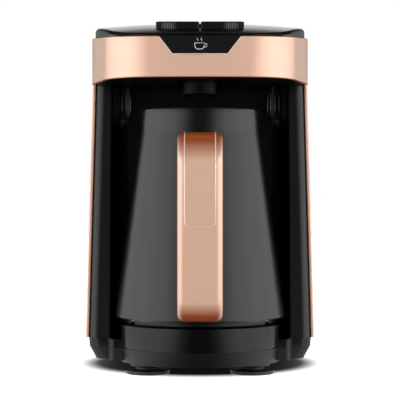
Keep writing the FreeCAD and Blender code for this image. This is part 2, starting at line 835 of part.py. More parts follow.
def button_spring(side):
    """Silicone return sleeve round the stem, between the well's floor and the cap."""
    x, y = button_place(side)
    low, high = well_floor_z, button_front_top_z - button_wall
    bulge = (low + high) / 2
    return turned([(sleeve_radius, low), (sleeve_radius + sleeve_bulge, bulge), (sleeve_radius, high),
                   (sleeve_radius - sleeve_wall, high),
                   (sleeve_radius + sleeve_bulge - sleeve_wall, bulge),
                   (sleeve_radius - sleeve_wall, low)], x, y)


def board_screws():
    return Part.makeCompound([screw_down(x, y, board_z + board_thickness, board_z - board_screw_reach)
                              for x, y in board_holes])


def buzzer():
    top = board_z + board_thickness
    body = rod(buzzer_radius, buzzer_x, button_y, top, top + buzzer_height)
    return body.cut(rod(buzzer_hole_radius, buzzer_x, button_y, top + buzzer_height - buzzer_hole_depth,
                        top + buzzer_height + past))


def power_board():
    board = box(-board_half, board_half, power_y, power_y + board_thickness, power_low, power_high)
    for x, z in power_holes:
        board = board.cut(rod_y(screw_radius + slip, x, z, power_y - past, power_y + board_thickness + past))
    return board


def power_screws():
    screws = []
    for x, z in power_holes:
        seat = power_y + board_thickness
        head = rod_y(small_head_radius, x, z, seat, seat + screw_head_height)
        screws.append(join([head, rod_y(screw_radius, x, z, power_y - power_screw_reach, seat)]))
    return Part.makeCompound(screws)


def relay():
    y = power_y + board_thickness
    solid = box(*relay_xs, y, y + relay_height, *relay_zs)
    return solid.makeFillet(part_edge, [e for e in solid.Edges if e.BoundBox.YMin > y + same])


def capacitor():
    y = power_y + board_thickness
    solid = rod_y(capacitor_radius, capacitor_x, capacitor_z, y, y + capacitor_height)
    return solid.makeFillet(part_edge, [e for e in solid.Edges if e.BoundBox.YMin > y + same])


def fuse():
    y = power_y + board_thickness
    tube = Part.makeCylinder(fuse_radius, 2 * fuse_half, Vector(-fuse_half, y + fuse_lift, fuse_z),
                             Vector(1, 0, 0))
    clips = [box(x, x + clip_width, y, y + clip_height, fuse_z - clip_half, fuse_z + clip_half)
             for x in (-fuse_half, fuse_half - clip_width)]
    return join([tube] + clips)


def terminal_block():
    y = power_y + board_thickness
    return box(-terminal_half, terminal_half, y, y + terminal_height, terminal_low, terminal_high)


def pin_xs():
    return [-pin_pitch, 0.0, pin_pitch]


def socket_housing():
    """Socket let into the bay's back wall, with its flange behind the wall and three bores."""
    wall_back = bay_back_y + core_wall
    body = box(-socket_half_width, socket_half_width, bay_back_y, socket_back_y,
               socket_z - socket_half_height, socket_z + socket_half_height)
    body = body.makeFillet(socket_edge, [e for e in body.Edges if e.BoundBox.YMax < bay_back_y + same])
    flange_x, flange_z = socket_screw_x + flange_margin_x, socket_half_height + flange_margin_z
    flange = box(-flange_x, flange_x, wall_back, wall_back + flange_thickness,
                 socket_z - flange_z, socket_z + flange_z)
    solid = join([body, flange])
    for x in pin_xs():
        solid = solid.cut(rod_y(pin_radius + pin_clearance, x, socket_z, bay_back_y - past, socket_depth_y))
        solid = solid.cut(rod_y(contact_radius, x, socket_z, socket_depth_y - past, socket_back_y + past))
    for z in post_zs:
        for x in (-socket_screw_x, socket_screw_x):
            solid = solid.cut(rod_y(screw_radius, x, z, wall_back - past,
                                    wall_back + flange_thickness + past))
    return solid


def socket_screws():
    screws = []
    for z in post_zs:
        for x in (-socket_screw_x, socket_screw_x):
            head = rod_y(screw_head_radius, x, z, bay_back_y - screw_head_height, bay_back_y)
            screws.append(join([head, rod_y(screw_radius, x, z, bay_back_y,
                                            bay_back_y + core_wall + flange_thickness)]))
    return Part.makeCompound(screws)


def socket_contacts():
    return Part.makeCompound([rod_y(contact_radius, x, socket_z, socket_depth_y, socket_back_y + contact_tail)
                              for x in pin_xs()])


def supply_leads():
    """Three leads from the contacts' tails round one bend and up to the terminal block."""
    leads = []
    start_y = socket_back_y + contact_tail
    bend_y = start_y + lead_start
    part_way = lead_bend * math.sin(math.pi / 4)
    for x in pin_xs():
        start = Vector(x, start_y, socket_z)
        bend_start = Vector(x, bend_y, socket_z)
        bend_middle = Vector(x, bend_y + part_way, socket_z + lead_bend - part_way)
        bend_end = Vector(x, bend_y + lead_bend, socket_z + lead_bend)
        end = Vector(x, bend_y + lead_bend, terminal_low)
        bend = Part.Arc(bend_start, bend_middle, bend_end).toShape()
        path = Part.Wire([Part.makeLine(start, bend_start), bend, Part.makeLine(bend_end, end)])
        section = Part.Wire([Part.makeCircle(lead_radius, start, Vector(0, 1, 0))])
        leads.append(path.makePipeShell([section], True, True))
    return Part.makeCompound(leads)


def cable_gland():
    """Grommet in the shell's back wall with its flange inside."""
    inner = back_y - shell_wall - gland_inset
    solid = join([rod_y(gland_radius, gland_x, gland_z, inner - gland_length, back_y - gland_inset),
                  rod_y(gland_radius + gland_flange, gland_x, gland_z, inner - gland_flange_length,
                        inner - slip)])
    return solid.cut(rod_y(gland_bore, gland_x, gland_z, inner - gland_length - past, back_y + past))


def pot_radius(z):
    """Outer radius of the pot's cone at height z."""
    share = (z - pot_low_z) / (collar_z - pot_low_z)
    return pot_low_radius + (pot_high_radius - pot_low_radius) * share


def pot_body():
    """Conical outer wall, open below, with bosses for the closing plate and a rear window."""
    solid = turned([
        (pot_low_radius - pot_foot_edge, pot_low_z), (pot_low_radius, pot_low_z + pot_foot_edge),
        (pot_high_radius, collar_z), (pot_high_radius - pot_wall, collar_z),
        (pot_low_radius - pot_wall, pot_low_z)], 0, drum_y)
    inner = turned([(0, pot_low_z - past), (pot_low_radius - pot_wall, pot_low_z - past),
                    (pot_low_radius - pot_wall, pot_low_z), (pot_high_radius - pot_wall, collar_z),
                    (0, collar_z)], 0, drum_y)
    for angle in pot_screw_angles:
        x, y = pot_screw_place(angle)
        wall = pot_low_radius - pot_wall
        web = box(0, wall - pot_screw_radius + past, -pot_web_half, pot_web_half, cover_plate_z,
                  pot_boss_top)
        web.rotate(Vector(0, 0, 0), Vector(0, 0, 1), angle)
        web.translate(Vector(x, y, 0))
        outer = turned([(0, pot_low_z), (wall + pot_web_in, pot_low_z), (pot_high_radius, collar_z),
                        (0, collar_z)], 0, drum_y)
        solid = solid.fuse(web.common(outer)).fuse(rod(boss_radius, x, y, cover_plate_z, pot_boss_top))
        solid = solid.cut(rod(screw_radius, x, y, pot_low_z, pot_boss_top - pot_boss_roof))
    window = box(-inlet_half_width - slip, inlet_half_width + slip, drum_y, bay_back_y,
                 socket_z - inlet_half_height - slip, socket_z + inlet_half_height + slip)
    solid = solid.cut(window)
    for z in handle_screw_zs:
        solid = solid.cut(rod_y(screw_radius + slip, 0, z, drum_y - beyond, drum_y))
    return solid.removeSplitter()


def pot_screw_place(angle):
    turn = math.radians(angle)
    return pot_screw_radius * math.cos(turn), drum_y + pot_screw_radius * math.sin(turn)


def pot_collar():
    """Neck ring over the body, with an eased rim turned in over the liner."""
    lip = liner_top_radius - rim_lap
    return turned([
        (pot_high_radius, collar_z), (collar_top_radius, collar_top_z - rim_edge),
        (collar_top_radius - rim_edge * rim_round, collar_top_z - rim_edge * rim_round),
        (collar_top_radius - rim_edge, collar_top_z), (lip, collar_top_z),
        (lip, collar_top_z - rim_lap), (liner_top_radius + slip, collar_top_z - rim_lap),
        (liner_top_radius + slip, collar_z)], 0, drum_y)


def pot_liner():
    """Steel vessel with a rounded floor, tapering to the neck."""
    top = collar_top_z - rim_lap - slip
    return turned([
        (0, liner_floor_z), (liner_low_radius - liner_corner, liner_floor_z),
        (liner_low_radius - liner_corner_mid, liner_floor_z + liner_corner_mid),
        (liner_low_radius, liner_floor_z + liner_corner),
        (liner_top_radius, collar_z), (liner_top_radius, top),
        (liner_top_radius - liner_wall, top), (liner_top_radius - liner_wall, collar_z),
        (liner_low_radius - liner_wall, liner_floor_z + liner_corner + liner_wall / 2),
        (liner_low_radius - liner_corner_mid - liner_wall, liner_floor_z + liner_corner_mid + liner_wall),
        (liner_low_radius - liner_corner - liner_wall / 2, liner_floor_z + liner_wall),
        (0, liner_floor_z + liner_wall)],
        0, drum_y)


def pot_seal():
    """Rubber ring between the liner's neck and the top of the body."""
    low, high = collar_z - seal_height, collar_z - slip
    steep = (liner_low_radius - liner_top_radius) / (collar_z - liner_floor_z - liner_corner)
    inner = liner_top_radius + steep * seal_height + seal_gap
    outer = pot_high_radius - pot_wall - seal_gap
    return turned([(inner, low), (outer, low), (outer, high), (inner, high)], 0, drum_y)


def heater_plate():
    return rod(heater_radius, 0, drum_y, liner_floor_z - heater_thickness, liner_floor_z)


def heating_element():
    """Ring of sheathed element pressed into the plate."""
    low = liner_floor_z - heater_thickness
    inner, outer = element_radius - element_half, element_radius + element_half
    return turned([(inner, low), (outer, low), (outer, low - element_half),
                   (outer - element_half / 2, low - 2 * element_half),
                   (inner + element_half / 2, low - 2 * element_half), (inner, low - element_half)],
                  0, drum_y)


def thermostat():
    seat = liner_floor_z - heater_thickness
    low, flange = seat - thermostat_drop, seat - thermostat_flange_drop
    return turned([(0, low), (thermostat_radius, low), (thermostat_radius, flange),
                   (thermostat_flange, flange), (thermostat_flange, seat), (0, seat)], 0, drum_y)


def pot_base_cover():
    """Closing plate of the pot, with the ring that it stands on."""
    low = deck_z + fit
    plate_radius = pot_radius(cover_plate_z) - pot_wall - slip
    plate_low, ring_inner = cover_plate_z - cover_plate_thickness, pot_ring_radius - pot_ring_width
    plate = turned([
        (0, plate_low), (ring_inner, plate_low), (ring_inner, low), (pot_ring_radius, low),
        (pot_ring_radius, pot_low_z + cover_lift), (plate_radius, pot_low_z + cover_lift),
        (plate_radius, cover_plate_z), (0, cover_plate_z)], 0, drum_y)
    for angle in pot_screw_angles:
        x, y = pot_screw_place(angle)
        plate = plate.cut(rod(screw_radius + slip, x, y, low - past, cover_plate_z + past))
        plate = plate.cut(rod(screw_head_radius + slip, x, y, low - past, cover_plate_z - cover_screw_sink))
    return plate


def pot_base_screws():
    return Part.makeCompound([
        screw_up(*pot_screw_place(angle), cover_plate_z - cover_screw_sink - screw_head_height,
                 pot_boss_top - pot_boss_roof - past)
        for angle in pot_screw_angles])


def pot_inlet():
    """Plug side of the power coupling, through the pot's rear window."""
    solid = box(-inlet_half_width, inlet_half_width, inlet_inner_y, bay_back_y - inlet_gap,
                socket_z - inlet_half_height, socket_z + inlet_half_height)
    solid = solid.makeFillet(socket_edge, [e for e in solid.Edges if e.BoundBox.YLength > socket_edge])
    for x in pin_xs():
        solid = solid.cut(rod_y(pin_radius, x, socket_z, inlet_inner_y + pin_root, bay_back_y))
    return solid


def pot_pins():
    pins = []
    for x in pin_xs():
        pin = rod_y(pin_radius, x, socket_z, inlet_inner_y + pin_root, socket_depth_y - pin_end_gap)
        ends = [e for e in pin.Edges if e.BoundBox.YMin > socket_depth_y - pin_end_gap - past]
        pins.append(pin.makeFillet(pin_edge, ends))
    return Part.makeCompound(pins)


def side_block(y, top, top_corner, low, low_corner, half_width):
    """Block as wide as the handle or its hole, from a side outline rounded at its front corners."""
    outline = rounded([(y, top, top_corner), (y, low, low_corner), (drum_y, low, 0), (drum_y, top, 0)], 0)
    solid = Part.Face(outline).extrude(Vector(0, 0, 2 * half_width))
    sideways = FreeCAD.Rotation(Vector(0, 1, 0), Vector(0, 0, 1), Vector(1, 0, 0), "ZXY")
    solid.Placement = FreeCAD.Placement(Vector(-half_width, 0, 0), sideways)
    return solid


def handle_side(offset, half_width):
    """Block with the handle's side outline, moved inwards by offset and centred on x."""
    return side_block(handle_front_y + offset, handle_top_z - offset, handle_top_corner - offset,
                      handle_low_z + offset, handle_low_corner - offset, half_width)


def finger_hole(grow, half_width):
    """Space for the fingers, grown by grow."""
    return side_block(handle_front_y + handle_thickness - grow, handle_top_z - arm_thickness + grow,
                      finger_top_corner + grow, handle_low_z + arm_thickness - grow,
                      finger_low_corner + grow, half_width)


def pot_envelope():
    """Everything inside the pot's outer surface, to seat the handle on it."""
    return turned([(0, pot_low_z), (pot_low_radius, pot_low_z), (pot_low_radius, pot_low_z + pot_foot_edge),
                   (pot_high_radius, collar_z), (0, collar_z)], 0, drum_y)


def inset_block(grow, depth):
    """Long thumb panel in the handle's front, over its top bend, with a rounded lower end."""
    skin = handle_side(0, inset_half + grow).cut(handle_side(depth, inset_half + grow + past))
    half, low, high = inset_half + grow, inset_low_z - grow, handle_top_z + past
    window = Part.Face(rounded([(-half, low, inset_corner), (half, low, inset_corner), (half, high, 0),
                                (-half, high, 0)], 0))
    window = window.extrude(Vector(0, 0, inset_end_y - handle_front_y + past))
    window.Placement = FreeCAD.Placement(Vector(0, inset_end_y, 0),
                                         FreeCAD.Rotation(Vector(1, 0, 0), 90))
    return skin.common(window)


def pot_handle():
    """Rose gold shell of the closed handle, seated on the cone."""
    solid = handle_side(0, handle_half_width).cut(finger_hole(0, handle_half_width + past))
    long_edges = [e for e in solid.Edges if e.BoundBox.XLength < same
                  and e.BoundBox.YMin < drum_y - pot_high_radius
                  and (e.BoundBox.YMax < drum_y - pot_high_radius or level(e))]
    outer = [e for e in long_edges if not near_finger_hole(e)]
    solid = solid.makeFillet(handle_edge, outer)
    solid = solid.cut(pot_envelope())
    solid = solid.cut(finger_hole(backing_thickness, handle_half_width - handle_skin))
    solid = solid.cut(inset_block(slip, inset_depth))
    for z in handle_screw_zs:
        solid = solid.cut(rod_y(screw_radius, 0, z, handle_bore_y, drum_y))
    return solid


def near_finger_hole(edge):
    """Whether an edge of the handle lies on the side of the finger hole."""
    middle = middle_of(edge)
    inside_front = middle.y > handle_front_y + handle_thickness / 2 + past
    inside_height = handle_low_z + arm_thickness / 2 < middle.z < handle_top_z - arm_thickness / 2
    return inside_front and inside_height


def handle_backing():
    """Black inner grip of the handle, along the finger hole."""
    solid = finger_hole(backing_thickness, handle_half_width - handle_skin)
    solid = solid.cut(finger_hole(0, handle_half_width + past))
    solid = solid.cut(pot_envelope())
    for z in handle_screw_zs:
        solid = solid.cut(rod_y(screw_radius + slip, 0, z, handle_bore_y, drum_y))
    return solid


def handle_inset():
    return inset_block(0, inset_depth)


def handle_screws():
    screws = []
    for z in handle_screw_zs:
        seat_y = drum_y - pot_radius(z) + pot_wall + handle_screw_seat
        head = rod_y(screw_head_radius, 0, z, seat_y, seat_y + handle_screw_head)
        screws.append(join([head, rod_y(screw_radius, 0, z, seat_y - handle_screw_reach, seat_y)]))
    return Part.makeCompound(screws)


def save_base():
    save("bottom_tray", bottom_tray())
    for name, (x, y) in foot_places.items():
        save("foot_" + name, foot(x, y))
    save("bottom_screws", bottom_screws())
    save("base_housing", base_housing())


def save_column():
    save("inner_housing", inner_housing())
    save("outer_shell", outer_shell())
    save("socket_housing", socket_housing())
    save("socket_screws", socket_screws())
    save("socket_contacts", socket_contacts())
    save("supply_leads", supply_leads())
    save("power_board", power_board())
    save("power_screws", power_screws())
    save("relay", relay())
    save("capacitor", capacitor())
    save("fuse", fuse())
    save("terminal_block", terminal_block())
    save("cable_gland", cable_gland())


def save_head():
    save("head_band", head_band())
    save("top_cover", top_cover())
    save("head_underside", head_underside())
    save("ceiling_screws", ceiling_screws())
    save("sensor_housing", sensor_housing())
    save("sensor_window", sensor_window())
    save("control_board", control_board())
    save("board_screws", board_screws())
    save("buzzer", buzzer())
    for side, name in ((-1, "left"), (1, "right")):
        save("button_" + name, button(side))
        save("button_spring_" + name, button_spring(side))
        save("switch_" + name, switch(side))
        save("switch_plunger_" + name, switch_plunger(side))


def save_pot():
    save("pot_body", pot_body())
    save("pot_collar", pot_collar())
    save("pot_liner", pot_liner())
    save("pot_seal", pot_seal())
    save("heater_plate", heater_plate())
    save("heating_element", heating_element())
    save("thermostat", thermostat())
    save("pot_base_cover", pot_base_cover())
    save("pot_base_screws", pot_base_screws())
    save("pot_inlet", pot_inlet())
    save("pot_pins", pot_pins())
    save("pot_handle", pot_handle())
    save("handle_backing", handle_backing())
    save("handle_inset", handle_inset())
    save("handle_screws", handle_screws())


save_base()
save_column()
save_head()
save_pot()
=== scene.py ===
# Studio scene for the electric turkish coffee maker: finishes, small parts, light and camera.
import json
import math

import bmesh
import bpy
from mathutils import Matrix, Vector


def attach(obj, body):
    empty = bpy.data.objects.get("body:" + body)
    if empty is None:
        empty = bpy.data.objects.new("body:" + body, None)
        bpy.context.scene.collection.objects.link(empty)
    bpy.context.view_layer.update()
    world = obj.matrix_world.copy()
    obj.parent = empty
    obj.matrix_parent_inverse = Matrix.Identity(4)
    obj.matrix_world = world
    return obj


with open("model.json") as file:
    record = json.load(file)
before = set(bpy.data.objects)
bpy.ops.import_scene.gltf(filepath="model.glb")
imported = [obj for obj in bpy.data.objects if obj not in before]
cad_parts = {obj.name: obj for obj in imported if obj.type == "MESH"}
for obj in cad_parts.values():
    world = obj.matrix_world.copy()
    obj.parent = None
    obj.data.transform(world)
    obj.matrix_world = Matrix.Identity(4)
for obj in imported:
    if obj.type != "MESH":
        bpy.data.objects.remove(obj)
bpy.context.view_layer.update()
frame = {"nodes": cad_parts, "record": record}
NODES = frame["nodes"]

MM = 0.001                      # sizes of the object's pieces are in millimetres, times this

# Camera, level with the middle of the machine
CAMERA_DISTANCE = 1.1           # metres in front of the machine's middle plane
CAMERA_HEIGHT = 0.124
CAMERA_LENS = 134.7             # mm on a sensor of this width
CAMERA_SENSOR = 36.0

# Light of the studio, as radiance: levels are shares of the softboxes
ROOM = 1.18                     # the even room that matt surfaces see
ROOM_HEIGHT = [(0.0, 1.0), (0.35, 1.0), (0.75, 0.55), (1.0, 0.55)]
SOFTBOX = 3.6                   # the two softboxes that glossy surfaces mirror
FRONT_DARK = 0.05               # the unlit wall behind the camera
OVERHEAD = 0.07                 # the unlit ceiling
ROUND_LIGHT = [(0.0, FRONT_DARK), (0.06, FRONT_DARK), (0.12, 0.2), (0.19, 0.65), (0.29, 1.0),
               (0.46, 0.95), (0.60, 0.60), (0.71, 0.35), (0.80, 0.10), (0.94, 0.06),
               (0.975, 0.26), (1.0, 0.28)]          # from the front, at 0, to the back, at 1
MIRRORED_HEIGHT = [(0.0, 0.9), (0.06, 1.0), (0.29, 0.9), (0.41, OVERHEAD), (1.0, OVERHEAD)]

# Floor: the paper, and the oval round the feet where it is painted dark as a painted shadow, in metres
FLOOR_HALF = 4.0
FLOOR_MIRRORED = 0.4            # how much of a softbox's light the paper sends into reflections
SHADOW_WIDTH, SHADOW_DEPTH = 0.087, 0.092
SHADOW_MIDDLE = 0.045           # how far behind the origin the oval's middle lies
SHADOW_EDGE = 0.14              # share of the oval over which the shadow fades, either way

ABS_IOR = 1.53


def linear(hex_colour):
    """sRGB hex, such as 'dfb29a', to a linear RGBA colour."""
    parts = [int(hex_colour[i:i + 2], 16) / 255 for i in (0, 2, 4)]
    return [p / 12.92 if p <= 0.04045 else ((p + 0.055) / 1.055) ** 2.4 for p in parts] + [1.0]


def feed(tree, node, *inputs, **links):
    """Links a node's inputs, in order or by name, to sockets, or sets them to plain values."""
    for key, value in [*enumerate(inputs), *links.items()]:
        socket = node.inputs[key if isinstance(key, int) else key.replace("_", " ")]
        if isinstance(value, bpy.types.NodeSocket):
            tree.links.new(value, socket)
        else:
            socket.default_value = value
    return node


def add(tree, kind, settings=None, *inputs, **links):
    """Adds a node with its settings and feeds its inputs."""
    node = tree.nodes.new(kind)
    for name, value in (settings or {}).items():
        setattr(node, name, value)
    return feed(tree, node, *inputs, **links)


def new_material(name):
    """Empty finish: the material, its tree, its shader and the place on the object, in metres."""
    material = bpy.data.materials.new(name)
    material.use_nodes = True
    tree = material.node_tree
    tree.nodes.clear()
    shader = add(tree, "ShaderNodeBsdfPrincipled")
    add(tree, "ShaderNodeOutputMaterial", Surface=shader.outputs["BSDF"])
    return material, tree, shader, add(tree, "ShaderNodeTexCoord").outputs["Object"]


def speckled(name, dark, light, smooth, rough, grain_mm=0.8, detail=2.0, relief_mm=0.0,
             relief_share=0.0, **shader_inputs):
    """A finish whose colour and roughness vary together in specks about grain_mm across.

    Most real specks are finer: they are drawn as coarse as they need to be to show.
    """
    material, tree, shader, place = new_material(name)
    speck = add(tree, "ShaderNodeTexNoise", Vector=place, Scale=1 / (grain_mm * MM),
                Detail=detail).outputs["Fac"]
    colour = add(tree, "ShaderNodeMix", {"data_type": "RGBA"}, Factor=speck, A=linear(dark),
                 B=linear(light))
    roughness = add(tree, "ShaderNodeMapRange", Value=speck, To_Min=smooth, To_Max=rough)
    feed(tree, shader, Base_Color=colour.outputs["Result"], Roughness=roughness.outputs["Result"],
         **shader_inputs)
    if relief_mm:
        bump = add(tree, "ShaderNodeBump", Height=speck, Distance=relief_mm * MM,
                   Strength=relief_share)
        feed(tree, shader, Normal=bump.outputs["Normal"])
    return material


def rose_gold_lacquer():
    """Metallic lacquer sprayed on moulded plastic, under a clear coat.

    The fine flake gives a warm pink gold with a soft broad shine. Faces turned upwards or downwards
    are mixed towards a deep copper: painted shade. A real flake is under a tenth of a millimetre:
    it is drawn as coarse as it needs to be to show.
    """
    material, tree, shader, place = new_material("rose_gold_metallic_lacquer")
    flake_mm, orange_peel_mm = 0.6, 1.5
    flake = add(tree, "ShaderNodeTexNoise", Vector=place, Scale=1 / (flake_mm * MM)).outputs["Fac"]
    # Painted shade: the more a face turns up or down, the more it is mixed towards a deep copper
    facing = add(tree, "ShaderNodeTexCoord").outputs["Normal"]
    upward = add(tree, "ShaderNodeSeparateXYZ", Vector=facing).outputs["Z"]
    slope = add(tree, "ShaderNodeMath", {"operation": "ABSOLUTE"}, upward).outputs["Value"]
    bend = add(tree, "ShaderNodeMapRange", Value=slope, From_Min=0.1, From_Max=0.7)
    unshaded_rose = add(tree, "ShaderNodeMix", {"data_type": "RGBA"}, Factor=flake, A=linear("f0bfa2"),
               B=linear("f5c8ad"))
    painted_shade_copper = add(tree, "ShaderNodeMix", {"data_type": "RGBA"}, Factor=flake, A=linear("a64a17"),
                B=linear("b2551f"))
    lacquer = add(tree, "ShaderNodeMix", {"data_type": "RGBA"}, Factor=bend.outputs["Result"],
                  A=unshaded_rose.outputs["Result"], B=painted_shade_copper.outputs["Result"])
    roughness = add(tree, "ShaderNodeMapRange", Value=flake, To_Min=0.34, To_Max=0.40)
    peel = add(tree, "ShaderNodeTexNoise", Vector=place, Scale=1 / (orange_peel_mm * MM))
    bump = add(tree, "ShaderNodeBump", Height=peel.outputs["Fac"], Distance=0.004 * MM,
               Strength=0.15)
    feed(tree, shader, Base_Color=lacquer.outputs["Result"], Roughness=roughness.outputs["Result"],
         Metallic=0.2, Coat_Weight=0.85, Coat_Roughness=0.24, Normal=bump.outputs["Normal"])
    return material


def grained_black(name, dark, light, smooth, rough, gloss):
    """Black with the fine relief that an etched mould or a spray gun leaves, under a sheen."""
    return speckled(name, dark, light, smooth, rough, grain_mm=0.5, detail=3.0, relief_mm=0.01,
                    relief_share=0.25, IOR=ABS_IOR, Specular_IOR_Level=gloss)


rose = rose_gold_lacquer()
# Injection moulded ABS with a spark-eroded grain: black with a soft broad sheen
satin_black = grained_black("satin_black_abs", "0d0d0e", "121213", 0.30, 0.38, 0.29)
# The tray's coarser tool leaves it duller than the housing
tray_black = grained_black("matt_black_abs", "0c0c0d", "111112", 0.40, 0.48, 0.29)
# Sprayed satin lacquer on the pot: smoother than a moulding, with a long soft highlight
pot_black = grained_black("satin_black_lacquer", "0a0a0b", "0e0e0f", 0.22, 0.28, 0.30)
# The drum's tool was polished: a deep black that mirrors its surroundings softly
drum_black = grained_black("gloss_moulded_black_abs", "020203", "050506", 0.14, 0.18, 0.34)
# Inner mouldings in the unlit bay, painted a deeper black than the housing as painted shade, and the
# buttons' ribs: etched tool, no shine to speak of
deep_black = grained_black("deep_matt_black_abs", "040404", "080808", 0.5, 0.6, 0.2)
# Polished ABS: near mirror black with a faint ripple left by the mould
polished = speckled("polished_black_abs", "070708", "0b0b0c", 0.10, 0.16, 6.0, IOR=ABS_IOR)
# The lacquered mouldings' beads, buffed smoother than the faces, and painted paler than them as a
# painted highlight
rose_bead_painted_highlight = speckled("rose_gold_bead_painted_highlight", "f6dccd", "fde9dd", 0.22, 0.30, 0.6,
                       Metallic=0.2, Coat_Weight=1.0, Coat_Roughness=0.1)
# Compression moulded silicone: an even, matt grey black
rubber = speckled("black_silicone_rubber", "121212", "181818", 0.51, 0.59)
# Deep drawn and brushed stainless steel: bright grey with blurred reflections
steel = speckled("brushed_stainless_steel", "b4b4b6", "c8c8ca", 0.24, 0.32, Metallic=1.0)
# Zinc plated screws: a duller, darker grey than the steel
zinc = speckled("zinc_plated_steel", "8f9092", "a5a6a8", 0.31, 0.39, Metallic=1.0)
# Circuit boards under solder mask: deep green with a satin shine
green = speckled("green_solder_mask", "0b4a24", "10602f", 0.36, 0.44)
# Cast epoxy packages of relay, switches, buzzer and terminals: dark grey, half matt
component = speckled("black_epoxy", "151515", "1d1d1d", 0.41, 0.49)
# The capacitor's shrunk film sleeve: strong blue, fairly glossy
blue = speckled("blue_film_sleeve", "1c3a80", "234594", 0.31, 0.39)
# Turned and tinned brass contacts: pale yellow metal, quite bright
brass = speckled("tinned_brass", "b89a55", "c9ab64", 0.21, 0.29, Metallic=1.0)
# Drawn glass tube of the fuse: clear and shiny
fuse_glass = speckled("fuse_glass", "e8f0ee", "f2f6f5", 0.02, 0.10, 2.0, Transmission_Weight=0.9)
# Pressed aluminium of the heater plate: pale grey, softly blurred
aluminium = speckled("pressed_aluminium", "b9babc", "c6c7c9", 0.28, 0.36, Metallic=1.0)
# Extruded silicone jacket of the inner leads: satin dark red
red_lead = speckled("silicone_lead_jacket", "7a1512", "8c1c17", 0.46, 0.54)
# Smoked acrylic lens, polished: a dark mirror with a sharp edge of light
lens = speckled("smoked_acrylic", "101012", "17171a", 0.04, 0.12)
# Pad printed ink: flat off-white
print_white = speckled("pad_printed_white_ink", "e2e2e2", "efefef", 0.46, 0.54)

FINISHES = {
    "rose_gold": rose, "black_housing": satin_black, "black_gloss": polished, "pot_black": pot_black,
    "steel": steel, "screw_steel": zinc, "rubber": rubber, "lens": lens, "board_green": green,
    "component": component, "component_blue": blue, "brass": brass, "glass_tube": fuse_glass,
    "aluminium": aluminium, "lead_jacket": red_lead,
}

# Pieces whose moulding is glossier or duller than the rest of their slot; the sensor housing's deeper
# black is painted shade
SPECIAL = {"bottom_tray": tray_black, "base_housing": drum_black, "sensor_housing": deep_black}

for part in frame["record"]["subparts"]:
    materials = NODES[part["node"]].data.materials
    materials.clear()
    materials.append(SPECIAL.get(part["node"], FINISHES[part["material_slot"]]))


def new_shape_tree(name, sizes):
    """Empty geometry nodes tree with one geometry and the named sizes going in."""
    tree = bpy.data.node_groups.new(name, "GeometryNodeTree")
    sockets = tree.interface
    sockets.new_socket("Geometry", in_out="INPUT", socket_type="NodeSocketGeometry")
    for size, value in sizes.items():
        sockets.new_socket(size, in_out="INPUT", socket_type="NodeSocketFloat").default_value = value
    sockets.new_socket("Geometry", in_out="OUTPUT", socket_type="NodeSocketGeometry")
    return tree


def facet_smoother():
    """Geometry nodes that join a CAD piece's loose triangles and shade its curved faces smoothly."""
    tree = new_shape_tree("facet_smoother", {"Join Distance": 0.002 * MM,
                                             "Crease Angle": math.radians(28.0)})
    given = add(tree, "NodeGroupInput").outputs
    joined = add(tree, "GeometryNodeMergeByDistance", Geometry=given["Geometry"],
                 Distance=given["Join Distance"])
    faces = add(tree, "GeometryNodeSetShadeSmooth", {"domain": "FACE"},
                Geometry=joined.outputs["Geometry"], Shade_Smooth=True)
    angle = add(tree, "GeometryNodeInputMeshEdgeAngle").outputs["Unsigned Angle"]
    soft = add(tree, "FunctionNodeCompare", {"data_type": "FLOAT", "operation": "LESS_EQUAL"},
               A=angle, B=given["Crease Angle"])
    edges = add(tree, "GeometryNodeSetShadeSmooth", {"domain": "EDGE"},
                Geometry=faces.outputs["Geometry"], Shade_Smooth=soft.outputs["Result"])
    add(tree, "NodeGroupOutput", Geometry=edges.outputs["Geometry"])
    return tree


smoother = facet_smoother()
for node in NODES.values():
    node.modifiers.new("facet_smoother", "NODES").node_group = smoother
    node.modifiers.new("weighted_normal", "WEIGHTED_NORMAL").keep_sharp = True


def place_piece(name, mesh, body):
    """Puts a mesh in the scene as a piece with a material slot that rides on a body."""
    piece = bpy.data.objects.new(name, mesh)
    bpy.context.scene.collection.objects.link(piece)
    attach(piece, body)


def bead(name, path, radius_mm, finish, body, sides=8):
    """Thin moulded bead along a path of points in millimetres, closed at its ends."""
    points = [Vector(p) * MM for p in path]
    nearly_upright = 0.1
    last = len(points) - 1
    corners, faces = [], []
    for i, point in enumerate(points):
        along = (points[min(i + 1, last)] - points[max(i - 1, 0)]).normalized()
        side = along.cross(Vector((0, 0, 1)))
        if side.length < nearly_upright:
            side = along.cross(Vector((1, 0, 0)))
        side.normalize()
        up = along.cross(side)
        corners += [point + (side * math.cos(t) + up * math.sin(t)) * radius_mm * MM
                    for t in (2 * math.pi * k / sides for k in range(sides))]
    for i in range(last):
        for k in range(sides):
            a, b = i * sides + k, i * sides + (k + 1) % sides
            faces.append((a, b, b + sides, a + sides))
    faces.append(tuple(range(sides - 1, -1, -1)))
    faces.append(tuple(range(last * sides, last * sides + sides)))
    mesh = bpy.data.meshes.new(name)
    mesh.from_pydata(corners, [], faces)
    mesh.update()
    outward = bmesh.new()
    outward.from_mesh(mesh)
    bmesh.ops.recalc_face_normals(outward, faces=outward.faces)
    outward.to_mesh(mesh)
    outward.free()
    mesh.shade_smooth()
    mesh.materials.append(finish)
    place_piece(name, mesh, body)


# The handle's thumb panel: a bead round its edge, over the top bend and round its lower corners
HANDLE_FRONT = -102.5
HANDLE_TOP = 170.3
HANDLE_BEND = 22.0
BEND_STEPS = 12
PANEL_HALF = 10.4
PANEL_LOW = 106.0
PANEL_CORNER = 4.0
CORNER_STEPS = 8
PANEL_END = -74.0
PANEL_BEAD = 0.42


def quarter_turn(steps):
    """Angles from nought to a right angle, evenly spaced."""
    return [math.pi / 2 * k / steps for k in range(steps + 1)]


